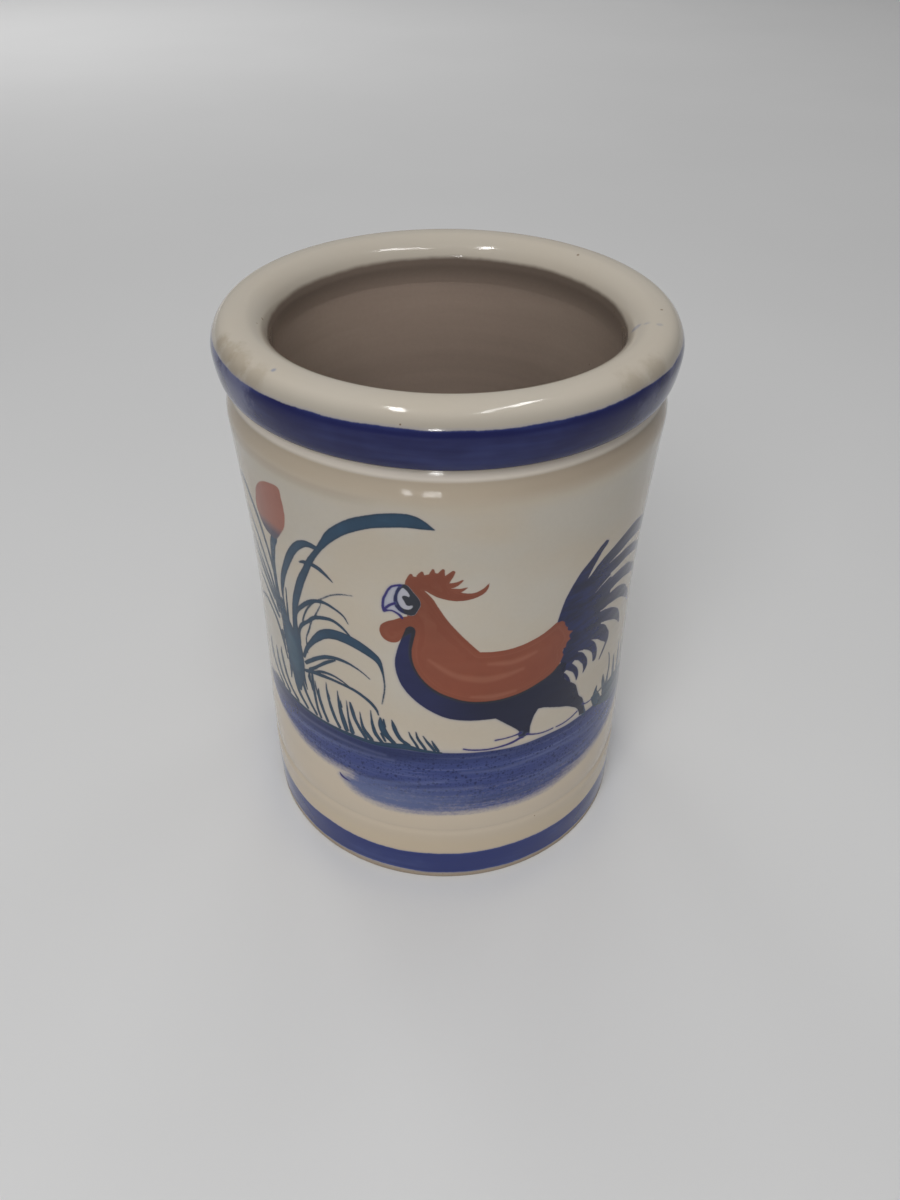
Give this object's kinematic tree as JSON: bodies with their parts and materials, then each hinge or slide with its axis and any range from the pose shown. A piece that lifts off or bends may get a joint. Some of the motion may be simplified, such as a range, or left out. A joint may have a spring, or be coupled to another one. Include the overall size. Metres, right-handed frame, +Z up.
{
  "type": "chopstick holder",
  "caption": "Round glazed ceramic pot with a slightly waisted wall, a thick rolled rim and a shallow foot ring, open at the top to stand chopsticks in.",
  "frame": {"origin": "centre of the circle the pot stands on, at the foot's underside", "axes": "+Z up along the pot's axis towards the mouth; the painted face looks along -Y"},
  "size_m": [0.1, 0.1, 0.1345],
  "materials": {
    "glaze_cream": "glossy warm grey-cream glaze over stoneware",
    "clay_bare": "matt bare tan clay"
  },
  "bodies": {
    "root": {"rim_collar": "glaze_cream", "wall": "glaze_cream", "base": "glaze_cream", "foot_ring": "clay_bare"}
  },
  "joints": []
}
